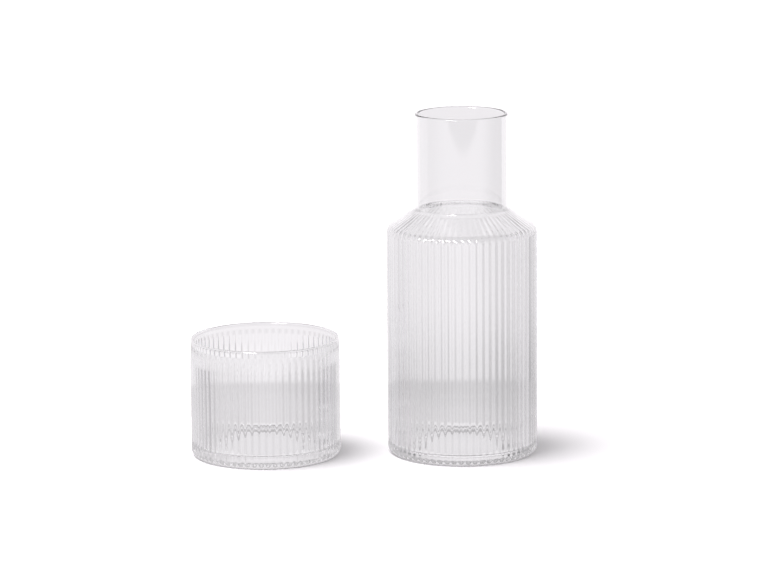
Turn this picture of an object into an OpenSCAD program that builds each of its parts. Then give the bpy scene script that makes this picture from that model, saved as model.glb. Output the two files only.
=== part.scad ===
// Bedside carafe with its tumbler: two pieces of thin, mould-blown clear glass.
// Upright ribs run round both pieces. On the carafe they turn over the shoulder and narrow towards
// the plain neck, and on the tumbler they die out where its wall draws in under the rim.
// Millimetres. The origin is the centre of the carafe's foot, +Z is up and the tumbler stands at -X.

/* [Ribs] */
// Number of ribs round each piece
rib_count = 67; // [48:1:76]
// Depth of the valley between two ribs
valley_depth = 0.65; // [0.3:0.05:0.8]
// Width of the valley where it opens on the surface
valley_w = 2.6; // [1.8:0.1:3]
// Depth of the valley where it comes over the bend onto the carafe's shoulder
valley_shoulder_depth = 0.3; // [0.2:0.05:0.6]
// Depth that is left of it where it stops at the neck
valley_end_depth = 0.1; // [0.05:0.05:0.2]

/* [Carafe] */
// Outside diameter of the body, over the ribs
body_d = 80; // [74:1:96]
// Height of the carafe, from the table to the rim
carafe_h = 183; // [170:1:210]
// Height of the sharp corner that the shoulder's bend rounds off
shoulder_h = 121.8; // [100:0.2:130]
// Slope of the shoulder above the horizontal, in degrees
shoulder_slope = 33.4; // [25:0.2:42]
// Outside radius of the bend from the body into the shoulder
shoulder_bend_r = 5.4; // [4:0.2:9]
// Outside diameter of the neck
neck_d = 49.2; // [44:0.2:56]
// Outside radius of the crease where the shoulder meets the neck
neck_crease_r = 1.1; // [0.8:0.1:2]
// Radius of the same crease on the inside
inner_crease_r = 1.6; // [1:0.1:3]
// Thickness of the body's wall and shoulder, over the ribs
body_wall = 2.5; // [2.1:0.1:3.2]
// Thickness of the neck's wall
neck_wall = 1.7; // [1.4:0.1:2.2]
// Thickness of the glass in the middle of the floor
carafe_floor = 2.6; // [2:0.2:5]
// Radius of the bend between the floor and the wall
carafe_floor_bend_r = 3; // [2:0.5:7]

/* [Tumbler] */
// Outside diameter of the tumbler, over the ribs
tumbler_d = 79.8; // [74:0.2:96]
// Height of the tumbler
tumbler_h = 63.6; // [56:0.2:80]
// Thickness of the wall, over the ribs
tumbler_wall = 1.7; // [1.5:0.1:2.4]
// Length under the rim over which the wall draws in and the ribs get lower
rim_taper_h = 12; // [8:1:20]
// How far the wall has drawn in at the rim
rim_set_in = 0.4; // [0.2:0.05:0.8]
// Length over which the last of a valley dies out
valley_fade_h = 3; // [2:0.5:6]
// Height of the smooth band above the valleys, up to the rim
rim_band_h = 2.5; // [2:0.5:4]
// Thickness of the glass in the middle of the floor
tumbler_floor = 4.8; // [3:0.2:6]
// Radius of the bend between the floor and the wall
tumbler_floor_bend_r = 1.8; // [1:0.2:5]

/* [Feet] */
// Outside radius of the bend from the wall into the foot
foot_bend_r = 3; // [2:0.5:5]
// Width of the ring that each piece stands on
foot_ring_w = 4; // [3:0.5:6]
// Width of the slope from the ring up into the hollow
hollow_slope_w = 5; // [3:0.5:8]
// Height of the hollow inside the ring
hollow_h = 1.2; // [0.8:0.1:1.6]

/* [Setting] */
// Distance between the axes of the two pieces where they stand on the table
spacing = 105.5; // [90:0.5:180]

/* [Hidden] */
$fn = 96;
// How far a cutting shape runs past the glass that it cuts
overrun = 1;
// Distance from the last of a valley to the crease of the neck
valley_stop_gap = 0.4;

body_r = body_d / 2;
neck_r = neck_d / 2;
tumbler_r = tumbler_d / 2;

// A valley is the track of a round cutter whose centre stays a little outside the glass
valley_r = (pow(valley_w / 2, 2) + pow(valley_depth, 2)) / (2 * valley_depth);
valley_set_out = valley_r - valley_depth;
valley_bend_r = valley_set_out + (valley_depth + valley_shoulder_depth) / 2;
valley_shoulder_r = valley_set_out + valley_shoulder_depth;
valley_end_r = valley_set_out + valley_end_depth;

// Angle through which the outline turns at the shoulder, and back again at the neck
shoulder_turn = 90 - shoulder_slope;

// Distance from a corner to the point where a bend of radius r leaves the straight, for a turn in degrees
function bend_reach(r, turn) = r * tan(turn / 2);

// A point at distance d from p, in the direction a, in degrees above the horizontal
function step_from(p, d, a) = [p.x + d * cos(a), p.y + d * sin(a)];

// Half of a straight-sided jar with a round bend at its foot, cut flat at the top
module tumbler_outline(r, low, high, foot_r) {
    polygon([[0, low], [r - foot_r, low], [r, low + foot_r], [r, high], [0, high]]);
    translate([r - foot_r, low + foot_r])
        circle(r = foot_r);
}

// Half of a jar with a sloping shoulder and a straight neck.
// corner is the sharp corner of body and shoulder, and crease_r rounds the corner of shoulder and neck.
module carafe_outline(corner, neck, low, high, foot_r, bend_r, crease_r) {
    bend = [corner.x - bend_r, corner.y - bend_reach(bend_r, shoulder_turn)];
    root = [neck, corner.y + (corner.x - neck) * tan(shoulder_slope)];
    crease = [neck + crease_r, root.y + bend_reach(crease_r, shoulder_turn)];
    tumbler_outline(corner.x, low, bend.y, foot_r);
    translate(bend)
        circle(r = bend_r);
    difference() {
        polygon([
            [0, bend.y],
            [corner.x, bend.y],
            step_from(bend, bend_r, shoulder_turn),
            step_from(crease, -crease_r, shoulder_turn),
            [neck, crease.y],
            [neck, high],
            [0, high]
        ]);
        translate(crease)
            circle(r = crease_r);
    }
}

// Half of the hollow under a foot whose ring has the inside radius r
module foot_hollow(r) {
    polygon([[0, -overrun], [r, -overrun], [r, 0], [r - hollow_slope_w, hollow_h], [0, hollow_h]]);
}

// Copies of a valley, one between each two ribs
module round_the_ribs() {
    for (i = [0 : rib_count - 1])
        rotate((i + 0.5) * 360 / rib_count)
            children();
}

// Cutter for one valley of the carafe. It takes three straight cuts, up the wall, across the bend and
// along the shoulder, and each runs out into the air where the glass turns away from it.
module carafe_valley() {
    bend = [body_r - shoulder_bend_r, shoulder_h - bend_reach(shoulder_bend_r, shoulder_turn)];
    reach = bend_reach(shoulder_bend_r, shoulder_turn);
    middle = step_from(bend, shoulder_bend_r + valley_set_out, shoulder_turn / 2);
    foot = step_from(bend, shoulder_bend_r + valley_set_out, shoulder_turn);
    slope_l = (body_r - neck_r) / cos(shoulder_slope)
        - bend_reach(neck_crease_r, shoulder_turn)
        - valley_stop_gap;
    translate([body_r + valley_set_out, 0, -overrun])
        cylinder(h = shoulder_h + overrun, r = valley_r);
    translate([middle.x, 0, middle.y])
        rotate([0, -shoulder_turn / 2, 0])
            cylinder(h = 2 * reach, r = valley_bend_r, center = true);
    translate([foot.x, 0, foot.y])
        rotate([0, -shoulder_turn, 0])
            translate([0, 0, -reach])
                cylinder(h = slope_l, r1 = valley_shoulder_r, r2 = valley_end_r);
}

// Half of the tumbler's wall under its rim, where it draws in from radius r, from low up to high
module rim_outline(r, low, high) {
    polygon([
        [0, low],
        [r, low],
        [r - rim_set_in, tumbler_h - tumbler_wall],
        [r - rim_set_in, high],
        [0, high]
    ]);
}

// Cutter for one valley of the tumbler. It is upright, so the valley gets shallower where the wall
// draws in from it, and the last of it dies out under the smooth band.
module tumbler_valley() {
    fade_from = tumbler_h - rim_band_h - valley_fade_h;
    translate([tumbler_r + valley_set_out, 0, 0]) {
        translate([0, 0, -overrun])
            cylinder(h = fade_from + overrun, r = valley_r);
        translate([0, 0, fade_from])
            cylinder(h = valley_fade_h, r1 = valley_r, r2 = valley_set_out);
    }
}

module carafe() {
    wall_corner = [body_r, shoulder_h];
    hollow_corner = [
        body_r - body_wall,
        shoulder_h + body_wall * tan(shoulder_slope) - body_wall / cos(shoulder_slope)
    ];
    lip_r = neck_wall / 2;
    color("lightcyan")
        difference() {
            rotate_extrude()
                union() {
                    difference() {
                        carafe_outline(wall_corner, neck_r, 0, carafe_h - lip_r,
                            foot_bend_r, shoulder_bend_r, neck_crease_r);
                        carafe_outline(hollow_corner, neck_r - neck_wall, hollow_h + carafe_floor,
                            carafe_h + overrun, carafe_floor_bend_r, shoulder_bend_r - body_wall,
                            inner_crease_r);
                        foot_hollow(body_r - foot_bend_r - foot_ring_w);
                    }
                    translate([neck_r - lip_r, carafe_h - lip_r])
                        circle(r = lip_r);
                }
            round_the_ribs()
                carafe_valley();
        }
}

module tumbler() {
    hollow_r = tumbler_r - tumbler_wall;
    taper_from = tumbler_h - rim_taper_h;
    lip_r = tumbler_wall / 2;
    color("lightcyan")
        translate([-spacing, 0, 0])
            difference() {
                rotate_extrude()
                    union() {
                        difference() {
                            union() {
                                tumbler_outline(tumbler_r, 0, taper_from, foot_bend_r);
                                rim_outline(tumbler_r, taper_from, tumbler_h - lip_r);
                            }
                            union() {
                                tumbler_outline(hollow_r, hollow_h + tumbler_floor, taper_from,
                                    tumbler_floor_bend_r);
                                rim_outline(hollow_r, taper_from, tumbler_h + overrun);
                            }
                            foot_hollow(tumbler_r - foot_bend_r - foot_ring_w);
                        }
                        translate([hollow_r - rim_set_in + lip_r, tumbler_h - lip_r])
                            circle(r = lip_r);
                    }
                round_the_ribs()
                    tumbler_valley();
            }
}

carafe();
tumbler();
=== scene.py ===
# Looks of a bedside carafe and its tumbler: clear, mould-blown, ribbed glass on a white table.
# Metres. The origin is the centre of the carafe's foot and +Z is up, as in the frame.
import math

import bmesh
import bpy
from mathutils import Matrix, Vector


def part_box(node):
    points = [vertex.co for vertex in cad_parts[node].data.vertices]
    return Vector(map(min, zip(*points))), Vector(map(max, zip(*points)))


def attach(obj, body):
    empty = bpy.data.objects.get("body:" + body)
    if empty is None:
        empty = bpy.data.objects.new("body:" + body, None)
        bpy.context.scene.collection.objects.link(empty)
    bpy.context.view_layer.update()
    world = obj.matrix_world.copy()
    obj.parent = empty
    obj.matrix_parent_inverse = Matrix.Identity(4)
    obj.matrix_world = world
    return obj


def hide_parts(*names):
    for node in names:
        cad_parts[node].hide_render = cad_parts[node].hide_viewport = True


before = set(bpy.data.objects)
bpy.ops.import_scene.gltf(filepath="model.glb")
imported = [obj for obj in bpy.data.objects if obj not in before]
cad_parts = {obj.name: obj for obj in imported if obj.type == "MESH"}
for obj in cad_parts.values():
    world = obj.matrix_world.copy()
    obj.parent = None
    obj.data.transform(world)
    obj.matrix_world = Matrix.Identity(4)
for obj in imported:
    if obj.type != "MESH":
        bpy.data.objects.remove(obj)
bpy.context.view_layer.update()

scene = bpy.context.scene
MM = 0.001

# Ribs, and how deep the valleys between them are on the walls, at the foot of the carafe's
# shoulder, and where they stop at its neck
RIB_COUNT = 67
RIB_STEPS = 12
VALLEY_DEPTH = 0.65 * MM
VALLEY_SHOULDER_DEPTH = 0.2 * MM
VALLEY_END_DEPTH = 0.06 * MM

# Sizes of the two pieces, read from the frame. A rib points at +X and a valley at -X.
carafe_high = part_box("carafe")[1]
tumbler_low, tumbler_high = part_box("tumbler")
BODY_R = carafe_high.x
CARAFE_H = carafe_high.z
TUMBLER_R = (tumbler_high.x - tumbler_low.x) / (1 + math.cos(math.pi / RIB_COUNT))
TUMBLER_H = tumbler_high.z
TUMBLER_X = tumbler_high.x - TUMBLER_R

# Carafe
SHOULDER_H = 121.8 * MM
SHOULDER_SLOPE = math.radians(33.4)
SHOULDER_BEND_R = 5.4 * MM
NECK_R = 24.6 * MM
NECK_CREASE_R = 1.1 * MM
INNER_CREASE_R = 3.2 * MM
BODY_WALL = 2.5 * MM
NECK_WALL = 1.7 * MM
CARAFE_FLOOR = 2.6 * MM
CARAFE_FLOOR_BEND_R = 3 * MM
VALLEY_STOP = 0.6 * MM

# Tumbler
TUMBLER_WALL = 1.7 * MM
RIM_TAPER_H = 12 * MM
RIM_TAPER_BEND_R = 60 * MM
RIM_SET_IN = 0.4 * MM
VALLEY_FADE_H = 5 * MM
RIM_BAND_H = 1.2 * MM
TUMBLER_FLOOR = 4.8 * MM
TUMBLER_FLOOR_BEND_R = 1.8 * MM

# Feet of both pieces
FOOT_BEND_R = 3 * MM
FOOT_RING_W = 4 * MM
HOLLOW_SLOPE_W = 5 * MM
HOLLOW_H = 1.2 * MM
HOLLOW_BEND_R = 2 * MM

# How finely a bend is drawn, how far from a bend the next ring of points lies on the straight,
# and how close two points are that count as one
BEND_STEP = math.radians(7)
GUARD = 0.3 * MM
SAME_SPOT = 0.001 * MM


# Outlines

def bend_points(before, corner, after, radius):
    """Points along the round bend that replaces a corner, from its start to its end."""
    a = (before - corner).normalized()
    b = (after - corner).normalized()
    half = a.angle(b) / 2
    reach = radius / math.tan(half)
    centre = corner + (a + b).normalized() * radius / math.sin(half)
    start = corner + a * reach - centre
    turn = math.pi - 2 * half
    if a.x * b.y - a.y * b.x > 0:
        turn = -turn
    steps = max(2, round(abs(turn) / BEND_STEP))
    spin = [Matrix.Rotation(turn * i / steps, 2) for i in range(steps + 1)]
    return [centre + m @ start for m in spin]


def rounded(corners):
    """Points of an open outline. A corner is (radius from the axis, height, radius of its bend).

    One whose bend is 0 is a plain point, such as one where the ribs start to fade.
    """
    spots = [Vector(c[:2]) for c in corners]
    points = [spots[0]]
    for i in range(1, len(corners) - 1):
        bend = [spots[i]]
        if corners[i][2]:
            bend = bend_points(spots[i - 1], spots[i], spots[i + 1], corners[i][2])
        straight = bend[0] - points[-1]
        if straight.length > 3 * GUARD:
            along = straight.normalized() * GUARD
            if len(points) > 1:
                points.append(points[-1] + along)
            points.append(bend[0] - along)
        points += bend if straight.length > SAME_SPOT else bend[1:]
    straight = spots[-1] - points[-1]
    points.append(points[-1] + straight.normalized() * GUARD)
    points.append(spots[-1])
    return points


def foot_corners(r):
    """Corners of the underside of a foot, from the axis to the foot's own bend."""
    ring = r - FOOT_BEND_R - FOOT_RING_W
    return [
        (0, HOLLOW_H, 0),
        (ring - HOLLOW_SLOPE_W, HOLLOW_H, HOLLOW_BEND_R),
        (ring, 0, HOLLOW_BEND_R),
        (r, 0, FOOT_BEND_R),
    ]


def carafe_corners():
    slope = math.tan(SHOULDER_SLOPE)
    hollow_r = BODY_R - BODY_WALL
    hollow_h = SHOULDER_H + BODY_WALL * slope - BODY_WALL / math.cos(SHOULDER_SLOPE)
    bore_r = NECK_R - NECK_WALL
    lip = NECK_WALL / 2
    return foot_corners(BODY_R) + [
        (BODY_R, SHOULDER_H, SHOULDER_BEND_R),
        (NECK_R, SHOULDER_H + (BODY_R - NECK_R) * slope, NECK_CREASE_R),
        (NECK_R, CARAFE_H, lip),
        (bore_r, CARAFE_H, lip),
        (bore_r, hollow_h + (hollow_r - bore_r) * slope, INNER_CREASE_R),
        (hollow_r, hollow_h, SHOULDER_BEND_R - BODY_WALL),
        (hollow_r, HOLLOW_H + CARAFE_FLOOR, CARAFE_FLOOR_BEND_R),
        (0, HOLLOW_H + CARAFE_FLOOR, 0),
    ]


def tumbler_corners():
    bore_r = TUMBLER_R - TUMBLER_WALL
    lip = TUMBLER_WALL / 2
    taper_from = TUMBLER_H - RIM_TAPER_H
    taper_to = TUMBLER_H - TUMBLER_WALL
    draw_in = RIM_SET_IN / (taper_to - taper_from)
    fade_from = TUMBLER_H - RIM_BAND_H - VALLEY_FADE_H
    fade_draw_in = draw_in * (fade_from - taper_from)
    # The last of a valley gets shallower on its own, and the wall draws in from it as well
    depth_left = VALLEY_DEPTH - fade_draw_in
    fade_to = fade_from + depth_left / (VALLEY_DEPTH / VALLEY_FADE_H + draw_in)
    return foot_corners(TUMBLER_R) + [
        (TUMBLER_R, taper_from, RIM_TAPER_BEND_R),
        (TUMBLER_R - fade_draw_in, fade_from, 0),
        (TUMBLER_R - draw_in * (fade_to - taper_from), fade_to, 0),
        (TUMBLER_R - RIM_SET_IN, taper_to, lip),
        (TUMBLER_R - RIM_SET_IN, TUMBLER_H, lip),
        (bore_r - RIM_SET_IN, TUMBLER_H, lip),
        (bore_r - RIM_SET_IN, taper_to, lip),
        (bore_r, taper_from, RIM_TAPER_BEND_R),
        (bore_r, HOLLOW_H + TUMBLER_FLOOR, TUMBLER_FLOOR_BEND_R),
        (0, HOLLOW_H + TUMBLER_FLOOR, 0),
    ]


# Valleys

def clamped(x):
    return min(1, max(0, x))


def smoothstep(low, high, x):
    t = clamped((x - low) / (high - low))
    return t * t * (3 - 2 * t)


def between(low, high, share):
    """A measure or a tone that is low where share is 0 and high where it is 1."""
    return low + (high - low) * share


def upright_valley(r, outer_r):
    """Depth of an upright valley where the outline has drawn back from its full radius to r."""
    return max(0, VALLEY_DEPTH - (outer_r - r))


def carafe_valley(r, z):
    """How deep a valley is at a point of the carafe's outside."""
    if z < SHOULDER_H - SHOULDER_BEND_R:
        return upright_valley(r, BODY_R)
    reach = SHOULDER_BEND_R * math.tan(math.pi / 4 - SHOULDER_SLOPE / 2)
    neck = NECK_R + NECK_CREASE_R + VALLEY_STOP
    over_bend = smoothstep(SHOULDER_H - reach, SHOULDER_H + reach * math.sin(SHOULDER_SLOPE), z)
    along = smoothstep(BODY_R - SHOULDER_BEND_R / 2, neck, r)
    depth = between(VALLEY_DEPTH, VALLEY_SHOULDER_DEPTH, over_bend)
    depth += (VALLEY_END_DEPTH - VALLEY_SHOULDER_DEPTH) * along
    return depth * smoothstep(neck - VALLEY_STOP, neck, r)


def tumbler_valley(r, z):
    """The same for the tumbler, whose valleys die out where its wall draws in under the rim."""
    fade = (z - (TUMBLER_H - RIM_BAND_H - VALLEY_FADE_H)) / VALLEY_FADE_H
    return max(0, upright_valley(r, TUMBLER_R) - VALLEY_DEPTH * clamped(fade))


# Pieces

def piece(name, mesh):
    """Turns a finished bmesh into an object in the scene, shaded smooth."""
    data = bpy.data.meshes.new(name)
    mesh.to_mesh(data)
    mesh.free()
    data.polygons.foreach_set("use_smooth", [True] * len(data.polygons))
    made = bpy.data.objects.new(name, data)
    scene.collection.objects.link(made)
    return made


def jar(name, corners, valley_at, centre_x):
    """A turned, ribbed glass piece, whose outline runs up the outside and down the inside.

    The outline is spun into one rib and the rib round the piece, and then the outside is pushed in
    along its normals to make the valleys.
    """
    points = rounded(corners)
    top = max(range(len(points)), key=lambda i: points[i].y)
    mesh = bmesh.new()
    depth = mesh.verts.layers.float.new("valley")
    chain = []
    for i, p in enumerate(points):
        chain.append(mesh.verts.new((p.x, 0, p.y)))
        chain[-1][depth] = valley_at(p.x, p.y) if i < top else 0
    for a, b in zip(chain, chain[1:]):
        mesh.edges.new((a, b))
    axis = {"cent": (0, 0, 0), "axis": (0, 0, 1)}
    outline = mesh.verts[:] + mesh.edges[:]
    bmesh.ops.spin(mesh, geom=outline, angle=math.tau / RIB_COUNT, steps=RIB_STEPS, **axis)
    rib = mesh.verts[:] + mesh.edges[:] + mesh.faces[:]
    bmesh.ops.spin(mesh, geom=rib, angle=math.tau, steps=RIB_COUNT, use_duplicate=True, **axis)
    bmesh.ops.remove_doubles(mesh, verts=mesh.verts, dist=SAME_SPOT)
    bmesh.ops.recalc_face_normals(mesh, faces=mesh.faces)
    mesh.normal_update()
    for v in mesh.verts:
        if v[depth]:
            phase = math.atan2(v.co.y, v.co.x) * RIB_COUNT
            v.co -= v.normal * v[depth] * (0.5 - 0.5 * math.cos(phase))
    bmesh.ops.translate(mesh, verts=mesh.verts, vec=(centre_x, 0, 0))
    return piece(name, mesh)


# Materials

class Value:
    """A socket that varies over a surface. Arithmetic on it adds Math nodes."""

    def __init__(self, tree, socket):
        self.tree, self.socket = tree, socket

    def __add__(self, other):
        return self.tree.math("ADD", self, other)

    def __radd__(self, other):
        return self.tree.math("ADD", other, self)

    def __sub__(self, other):
        return self.tree.math("SUBTRACT", self, other)

    def __rsub__(self, other):
        return self.tree.math("SUBTRACT", other, self)

    def __mul__(self, other):
        return self.tree.math("MULTIPLY", self, other)

    def __rmul__(self, other):
        return self.tree.math("MULTIPLY", other, self)


class Tree:
    """The node tree of one material or world."""

    def __init__(self, owner):
        owner.use_nodes = True
        self.nodes, self.links = owner.node_tree.nodes, owner.node_tree.links
        self.nodes.clear()

    def node(self, kind, settings={}, inputs={}, out=0):
        """Adds a node and gives one of its outputs. A Value is linked, and a number or colour set."""
        made = self.nodes.new(kind)
        for name, value in settings.items():
            setattr(made, name, value)
        for name, value in inputs.items():
            if isinstance(value, Value):
                self.links.new(value.socket, made.inputs[name])
            else:
                made.inputs[name].default_value = value
        return Value(self, made.outputs[out]) if len(made.outputs) else made

    def math(self, operation, *terms):
        return self.node("ShaderNodeMath", {"operation": operation}, dict(enumerate(terms)))

    def ramp(self, value, low, high):
        """0 below low, 1 above high and a smooth climb between."""
        settings = {"interpolation_type": "SMOOTHSTEP"}
        inputs = {"Value": value, "From Min": low, "From Max": high}
        return self.node("ShaderNodeMapRange", settings, inputs)

    def noise(self, place, scale, detail, stretch=(1, 1, 1), middle=(0, 0, 0)):
        """Soft blotches. Stretch under 1 draws them out along an axis, and middle shifts them."""
        inputs = {"Vector": place, "Scale": stretch, "Location": middle}
        there = self.node("ShaderNodeMapping", {}, inputs)
        inputs = {"Vector": there, "Scale": scale, "Detail": detail}
        return self.node("ShaderNodeTexNoise", {}, inputs)

    def colour_between(self, first, second, share):
        """A colour that is first where share is 0 and second where it is 1. 6 and 7 are the
        node's sockets for colours."""
        inputs = {0: share, 6: first, 7: second}
        return self.node("ShaderNodeMix", {"data_type": "RGBA"}, inputs, out=2)

    def shader_between(self, first, second, share):
        return self.node("ShaderNodeMixShader", {}, {0: share, 1: first, 2: second})

    def light_path(self, kind):
        return self.node("ShaderNodeLightPath", out=kind)

    def part(self, vector, which):
        """One coordinate of a vector: 0 is x, 1 is y and 2 is z."""
        return self.node("ShaderNodeSeparateXYZ", {}, {0: vector}, out=which)


GLASS_IOR = 1.51
GLASS_TINT = (0.992, 0.994, 0.993, 1)
GLASS_TINT_THICK = (0.98, 0.985, 0.984, 1)
# Scale and detail of the noise behind the clouds in the tint, the haze and the ripples
CLOUDS = (14, 2.0)
HAZE = (45, 4.0)
RIPPLES = (28, 1.0)
RIPPLE_STRETCH = (1, 1, 0.35)
RIPPLE_DEPTH = 0.06 * MM
HAZE_STARTS = (0.55, 0.85)
HAZE_ROUGHNESS = 0.02
# Painted shade: the carafe's glass is tinted a little greyer low on its wall, darkening the view
# through it there, from the first two heights to the others
PAINTED_SHADE_TINT = (0.935, 0.94, 0.938, 1)
PAINTED_SHADE_STARTS = (12 * MM, 20 * MM)
PAINTED_SHADE_ENDS = (42 * MM, 74 * MM)
# What the glass lets through of the light that falls on the table behind it
SHADE_TINT = (0.37, 0.37, 0.37, 1)


def clear_glass(name, centre_x, painted_shade_low=False):
    """Clear blown glass: a faint cool tint, slow ripples from the mould and a trace of haze, and,
    when asked, painted shade: a greyer tint low on the wall.
    """
    made = bpy.data.materials.new(name)
    tree = Tree(made)
    place = tree.node("ShaderNodeTexCoord", out="Object")
    middle = (-centre_x, 0, 0)
    clouds = tree.noise(place, *CLOUDS, middle=middle)
    tint = tree.colour_between(GLASS_TINT, GLASS_TINT_THICK, clouds)
    # Painted shade: a greyer tint low on the carafe's wall darkens what is seen through it
    if painted_shade_low:
        height = tree.part(place, 2)
        low = tree.ramp(height, *PAINTED_SHADE_STARTS) * (1 - tree.ramp(height, *PAINTED_SHADE_ENDS))
        tint = tree.colour_between(tint, PAINTED_SHADE_TINT, low)
    haze = tree.ramp(tree.noise(place, *HAZE), *HAZE_STARTS)
    ripples = tree.noise(place, *RIPPLES, RIPPLE_STRETCH, middle)
    bump = {"Strength": 1.0, "Distance": RIPPLE_DEPTH, "Height": ripples}
    glass = tree.node("ShaderNodeBsdfPrincipled", {}, {
        "Base Color": tint,
        "Roughness": haze * HAZE_ROUGHNESS,
        "IOR": GLASS_IOR,
        "Transmission Weight": 1.0,
        "Normal": tree.node("ShaderNodeBump", {}, bump),
    })
    shade = tree.node("ShaderNodeBsdfTransparent", {}, {"Color": SHADE_TINT})
    mixed = tree.shader_between(glass, shade, tree.light_path("Is Shadow Ray"))
    tree.node("ShaderNodeOutputMaterial", {}, {"Surface": mixed})
    return made


# The two glass pieces

carafe = jar("carafe_glass", carafe_corners(), carafe_valley, 0)
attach(carafe, "carafe")
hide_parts("carafe")
# The carafe's glass carries painted shade, a greyer tint low on its wall
carafe.data.materials.append(clear_glass("clear_glass_carafe", 0, painted_shade_low=True))

tumbler = jar("tumbler_glass", tumbler_corners(), tumbler_valley, TUMBLER_X)
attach(tumbler, "tumbler")
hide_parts("tumbler")
tumbler.data.materials.append(clear_glass("clear_glass_tumbler", TUMBLER_X))


# The table, the light and the camera

WHITE = (1, 1, 1, 1)
STUDIO_CAST = (1, 0.97, 1, 1)
TABLE_HALF_W = 3.0
TABLE_COLOUR = (0.8, 0.8, 0.8, 1)
TABLE_GLOW = 0.3
SKY_ON_TABLE = 0.3

# The studio as the glass lets it through: zones one above the other, from the table up to the
# ceiling. A row gives the tones of a zone at some directions, in degrees from straight behind the
# glass, with + to the right. There is a dark frame on the right, a dark corner on the left, and a
# bright panel on the left behind the neck.
FLOOR_TONES = (
    (-150, 0.45), (-95, 0.42), (-62, 0.56), (-33, 0.79), (-15, 0.78),
    (12, 0.87), (37, 0.55), (62, 0.81), (95, 0.3), (150, 0.45),
)
FOOT_TONES = (
    (-150, 0.6), (-95, 0.8), (-62, 0.42), (-33, 0.86), (-15, 1.0),
    (12, 0.93), (37, 0.42), (62, 0.82), (95, 0.6), (150, 0.6),
)
WALL_TONES = (
    (-150, 0.68), (-95, 0.66), (-62, 0.73), (-33, 0.9), (-15, 0.93),
    (12, 0.96), (37, 0.56), (62, 0.81), (95, 0.82), (150, 0.68),
)
NECK_TONES = (
    (-140, 0.68), (-80, 0.72), (-50, 0.84), (-35, 0.84), (-22, 0.99), (-9, 0.89),
    (17, 0.89), (37, 0.84), (57, 0.84), (86, 0.72), (143, 0.68),
)
TABLE_NEAR_TONE = 0.95
TABLE_UNDER_TONE = 0.4
TABLE_SIDE_TONE = 0.5
HORIZON_TONE = 0.78
CEILING_TONE = 0.82
CEILING_HIGH_TONE = 0.38
CEILING_SIDE_TONE = 0.6
FLOOR_EDGE_SHADE = 0.03
# Where each zone takes over from the one below it. Heights are sines of the angle above the
# horizon, and the sides start at angles from straight behind, in radians.
UNDER_STARTS = (-0.9, -0.8)
NEAR_STARTS = (-0.68, -0.58)
TABLE_SIDE_STARTS = (-0.55, -0.48)
FLOOR_STARTS = (-0.36, -0.27)
FLOOR_EDGE_STARTS = (-0.226, -0.218)
FOOT_STARTS = (-0.2178, -0.2162)
WALL_STARTS = (-0.217, -0.19)
NECK_STARTS = (-0.181, -0.173)
HORIZON_STARTS = (-0.14, -0.1)
CEILING_STARTS = (0.05, 0.15)
CEILING_HIGH_STARTS = (0.28, 0.4)
CEILING_SIDE_STARTS = (-0.1, 0.1)
SIDES_START = (0.95, 1.15)

# The studio as the outside of the glass mirrors it: the lit table in front, with a dark doorway
# beyond it, the unlit sides and the wall behind, which is turned a little. Numbers across are
# how far a direction points to the right, and numbers back how far it points behind the glass.
FRONT_TONE = 1.8
FRONT_NEAR_TONE = 1.0
FRONT_RIGHT_SHADE = 0.5
LEFT_TONE = 0.85
RIGHT_TONE = 0.05
BACK_TONE = 1.4
BACK_NEAR_TONE = 0.8
FAR_STARTS = (-0.19, -0.172)
DOOR_FOOT = (-0.163, -0.157)
DOOR_FOOT_BOW = 0.02
DOOR_EDGE_ACROSS = (0.54, 0.66)
FRONT_RIGHT_ACROSS = (-0.1, 0.5)
LEFT_TO_RIGHT_ACROSS = (-0.2, 0.2)
FRONT_TO_SIDE_BACK = (-0.8, -0.1)
SIDE_TO_WALL_BACK = (0.24, 0.31)
WALL_TURN = 0.185

# Lamps. A direction is the azimuth and the elevation, in degrees, as towards() takes them.
KEY_W = 0.6
KEY_H = 0.5
KEY_DIRECTION = (-28, 28)
KEY_DISTANCE = 1.6
KEY_RADIANCE = 90
SIDE_DIRECTION = (-75, 74)
SIDE_DISTANCE = 1.5
SIDE_SPREAD = 29
SIDE_STRENGTH = 2.95

# The camera that took the photograph, found from the rims, feet and outlines of both pieces.
# Angles are in radians, and the lens and its sensor in millimetres.
CAMERA_PLACE = (-0.1058, -2.0435, 0.4927)
CAMERA_PITCH = 0.1949
CAMERA_HEADING = 0.0314
CAMERA_ROLL = -0.0082
CAMERA_LENS = 183.2
CAMERA_SENSOR_W = 36
CAMERA_SIGHT = 20

# How often light may pass or leave a surface of glass
GLASS_BOUNCES = 32


def white_table():
    """A floor that the camera and the soft light see. Glass looks past it, into the studio."""
    mesh = bmesh.new()
    bmesh.ops.create_grid(mesh, x_segments=2, y_segments=2, size=TABLE_HALF_W)
    made = piece("table", mesh)
    material = bpy.data.materials.new("white_table")
    tree = Tree(material)
    paint = tree.node("ShaderNodeBsdfDiffuse", {}, {"Color": TABLE_COLOUR})
    whiter = TABLE_GLOW * tree.light_path("Is Camera Ray")
    glow = tree.node("ShaderNodeEmission", {}, {"Color": STUDIO_CAST, "Strength": whiter})
    lit = tree.node("ShaderNodeAddShader", {}, {0: paint, 1: glow})
    tree.node("ShaderNodeOutputMaterial", {}, {"Surface": lit})
    made.data.materials.append(material)
    made.visible_transmission = False
    made.visible_glossy = False


def around(tree, azimuth, tones):
    """Tone of one zone of the studio in a direction round the glass."""
    tone = tones[0][1]
    for (start, low), (end, high) in zip(tones, tones[1:]):
        share = tree.ramp(azimuth, math.radians(start), math.radians(end))
        tone = tone + (high - low) * share
    return tone


def stacked(tree, height, lowest, *zones):
    """Tone of zones one above the other. Each is the heights where it takes over, and its tone."""
    tone = lowest
    for starts, above in zones:
        tone = between(tone, above, tree.ramp(height, *starts))
    return tone


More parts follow.
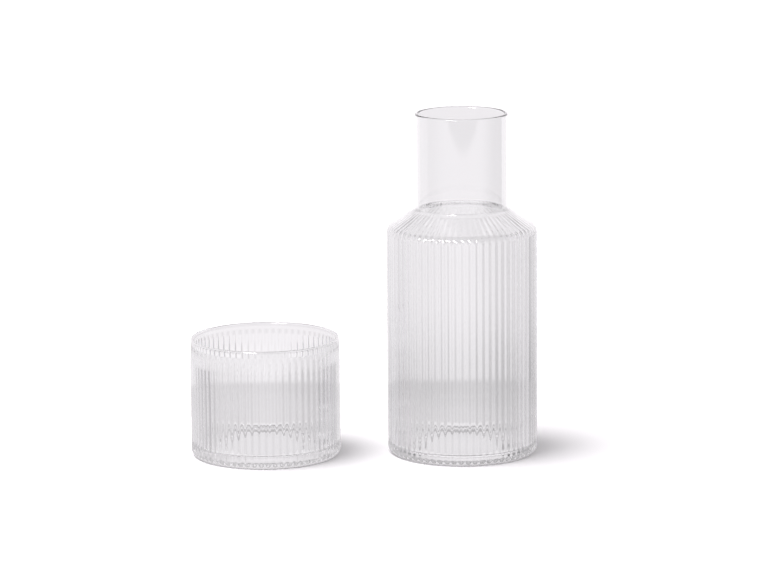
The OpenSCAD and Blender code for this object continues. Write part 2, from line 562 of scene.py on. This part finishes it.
def studio_through(tree, right, back, height):
    """Tone of the studio for light that has gone through the glass."""
    azimuth = tree.math("ARCTAN2", right, back)
    sides = tree.ramp(tree.math("ABSOLUTE", azimuth), *SIDES_START)
    ahead = stacked(
        tree, height, TABLE_NEAR_TONE,
        (UNDER_STARTS, TABLE_UNDER_TONE),
        (NEAR_STARTS, TABLE_NEAR_TONE),
    )
    beside = stacked(tree, height, TABLE_NEAR_TONE, (TABLE_SIDE_STARTS, TABLE_SIDE_TONE))
    edge = FLOOR_EDGE_SHADE * tree.ramp(height, *FLOOR_EDGE_STARTS)
    tone = stacked(
        tree, height, between(ahead, beside, sides),
        (FLOOR_STARTS, around(tree, azimuth, FLOOR_TONES) - edge),
        (FOOT_STARTS, around(tree, azimuth, FOOT_TONES)),
        (WALL_STARTS, around(tree, azimuth, WALL_TONES)),
        (NECK_STARTS, around(tree, azimuth, NECK_TONES)),
        (HORIZON_STARTS, HORIZON_TONE),
        (CEILING_STARTS, CEILING_TONE),
        (CEILING_HIGH_STARTS, CEILING_HIGH_TONE),
    )
    return between(tone, CEILING_SIDE_TONE, sides * tree.ramp(height, *CEILING_SIDE_STARTS))


def studio_mirrored(tree, right, back, height):
    """Tone of the studio for light that the outside of the glass throws back."""
    near = 1 - tree.ramp(height, *FAR_STARTS)
    door = 1 - tree.ramp(tree.math("ABSOLUTE", right), *DOOR_EDGE_ACROSS)
    door = door * tree.ramp(height - DOOR_FOOT_BOW * right * right, *DOOR_FOOT)
    front = between(FRONT_TONE, FRONT_NEAR_TONE, near) * (1 - door)
    front = front * (1 - FRONT_RIGHT_SHADE * near * tree.ramp(right, *FRONT_RIGHT_ACROSS))
    sides = between(LEFT_TONE, RIGHT_TONE, tree.ramp(right, *LEFT_TO_RIGHT_ACROSS))
    front = between(front, sides, tree.ramp(back, *FRONT_TO_SIDE_BACK))
    wall = between(BACK_TONE, BACK_NEAR_TONE, near)
    return between(front, wall, tree.ramp(back - WALL_TURN * right, *SIDE_TO_WALL_BACK))


def studio_world():
    """White for the camera, and the studio's tones for the glass and the table."""
    world = bpy.data.worlds.new("white_studio")
    scene.world = world
    tree = Tree(world)
    way = tree.node("ShaderNodeTexCoord", out="Generated")
    right, back, height = (tree.part(way, i) for i in range(3))
    mirrored = studio_mirrored(tree, right, back, height)
    refracted = studio_through(tree, right, back, height)
    tone = between(mirrored, refracted, tree.light_path("Is Transmission Ray"))
    tone = between(tone, SKY_ON_TABLE, tree.light_path("Is Diffuse Ray"))
    cast = tree.node("ShaderNodeBackground", {}, {"Color": STUDIO_CAST, "Strength": tone})
    white = tree.node("ShaderNodeBackground", {}, {"Color": WHITE, "Strength": 1.0})
    seen = tree.shader_between(cast, white, tree.light_path("Is Camera Ray"))
    tree.node("ShaderNodeOutputWorld", {}, {"Surface": seen})


def towards(azimuth, elevation):
    """Direction to a lamp. Azimuth 0 is in front of the pieces, at -Y, and 90 is to the right."""
    a, e = math.radians(azimuth), math.radians(elevation)
    return Vector((math.sin(a) * math.cos(e), -math.cos(a) * math.cos(e), math.sin(e)))


def hang(name, lamp, out, distance):
    """Places a lamp at a distance from the middle of the set, facing it."""
    made = bpy.data.objects.new(name, lamp)
    made.location = Vector((TUMBLER_X / 2, 0, CARAFE_H / 2)) + out * distance
    made.rotation_mode = "QUATERNION"
    made.rotation_quaternion = out.to_track_quat("Z", "Y")
    made.visible_transmission = False
    scene.collection.objects.link(made)
    return made


def key_softbox():
    """The bright box in front on the left, whose image is the white bars and dots on the glass."""
    lamp = bpy.data.lights.new("key", "AREA")
    lamp.shape = "RECTANGLE"
    lamp.size, lamp.size_y = KEY_W, KEY_H
    lamp.energy = KEY_RADIANCE * math.pi * KEY_W * KEY_H
    lamp.color = STUDIO_CAST[:3]
    made = hang("key", lamp, towards(*KEY_DIRECTION), KEY_DISTANCE)
    made.visible_diffuse = False


def side_light():
    """The broad light from the left that lights the table and throws the short soft shadows."""
    lamp = bpy.data.lights.new("side", "SUN")
    lamp.angle = math.radians(SIDE_SPREAD)
    lamp.energy = SIDE_STRENGTH
    lamp.color = STUDIO_CAST[:3]
    made = hang("side", lamp, towards(*SIDE_DIRECTION), SIDE_DISTANCE)
    made.visible_glossy = False


def photo_camera():
    data = bpy.data.cameras.new("camera")
    data.sensor_width = CAMERA_SENSOR_W
    data.lens = CAMERA_LENS
    data.clip_end = CAMERA_SIGHT
    made = bpy.data.objects.new("camera", data)
    ahead = Vector((
        math.sin(CAMERA_HEADING) * math.cos(CAMERA_PITCH),
        math.cos(CAMERA_HEADING) * math.cos(CAMERA_PITCH),
        -math.sin(CAMERA_PITCH),
    ))
    right = Vector((math.cos(CAMERA_HEADING), -math.sin(CAMERA_HEADING), 0))
    up = right.cross(ahead)
    turn = Matrix((right, up, -ahead)).transposed().to_4x4()
    roll = Matrix.Rotation(CAMERA_ROLL, 4, "Z")
    made.matrix_world = Matrix.Translation(CAMERA_PLACE) @ turn @ roll
    scene.collection.objects.link(made)
    scene.camera = made


white_table()
studio_world()
key_softbox()
side_light()
photo_camera()
scene.view_settings.view_transform = "Standard"
scene.cycles.caustics_refractive = False
scene.cycles.caustics_reflective = False
scene.cycles.max_bounces = GLASS_BOUNCES
scene.cycles.glossy_bounces = GLASS_BOUNCES
scene.cycles.transmission_bounces = GLASS_BOUNCES
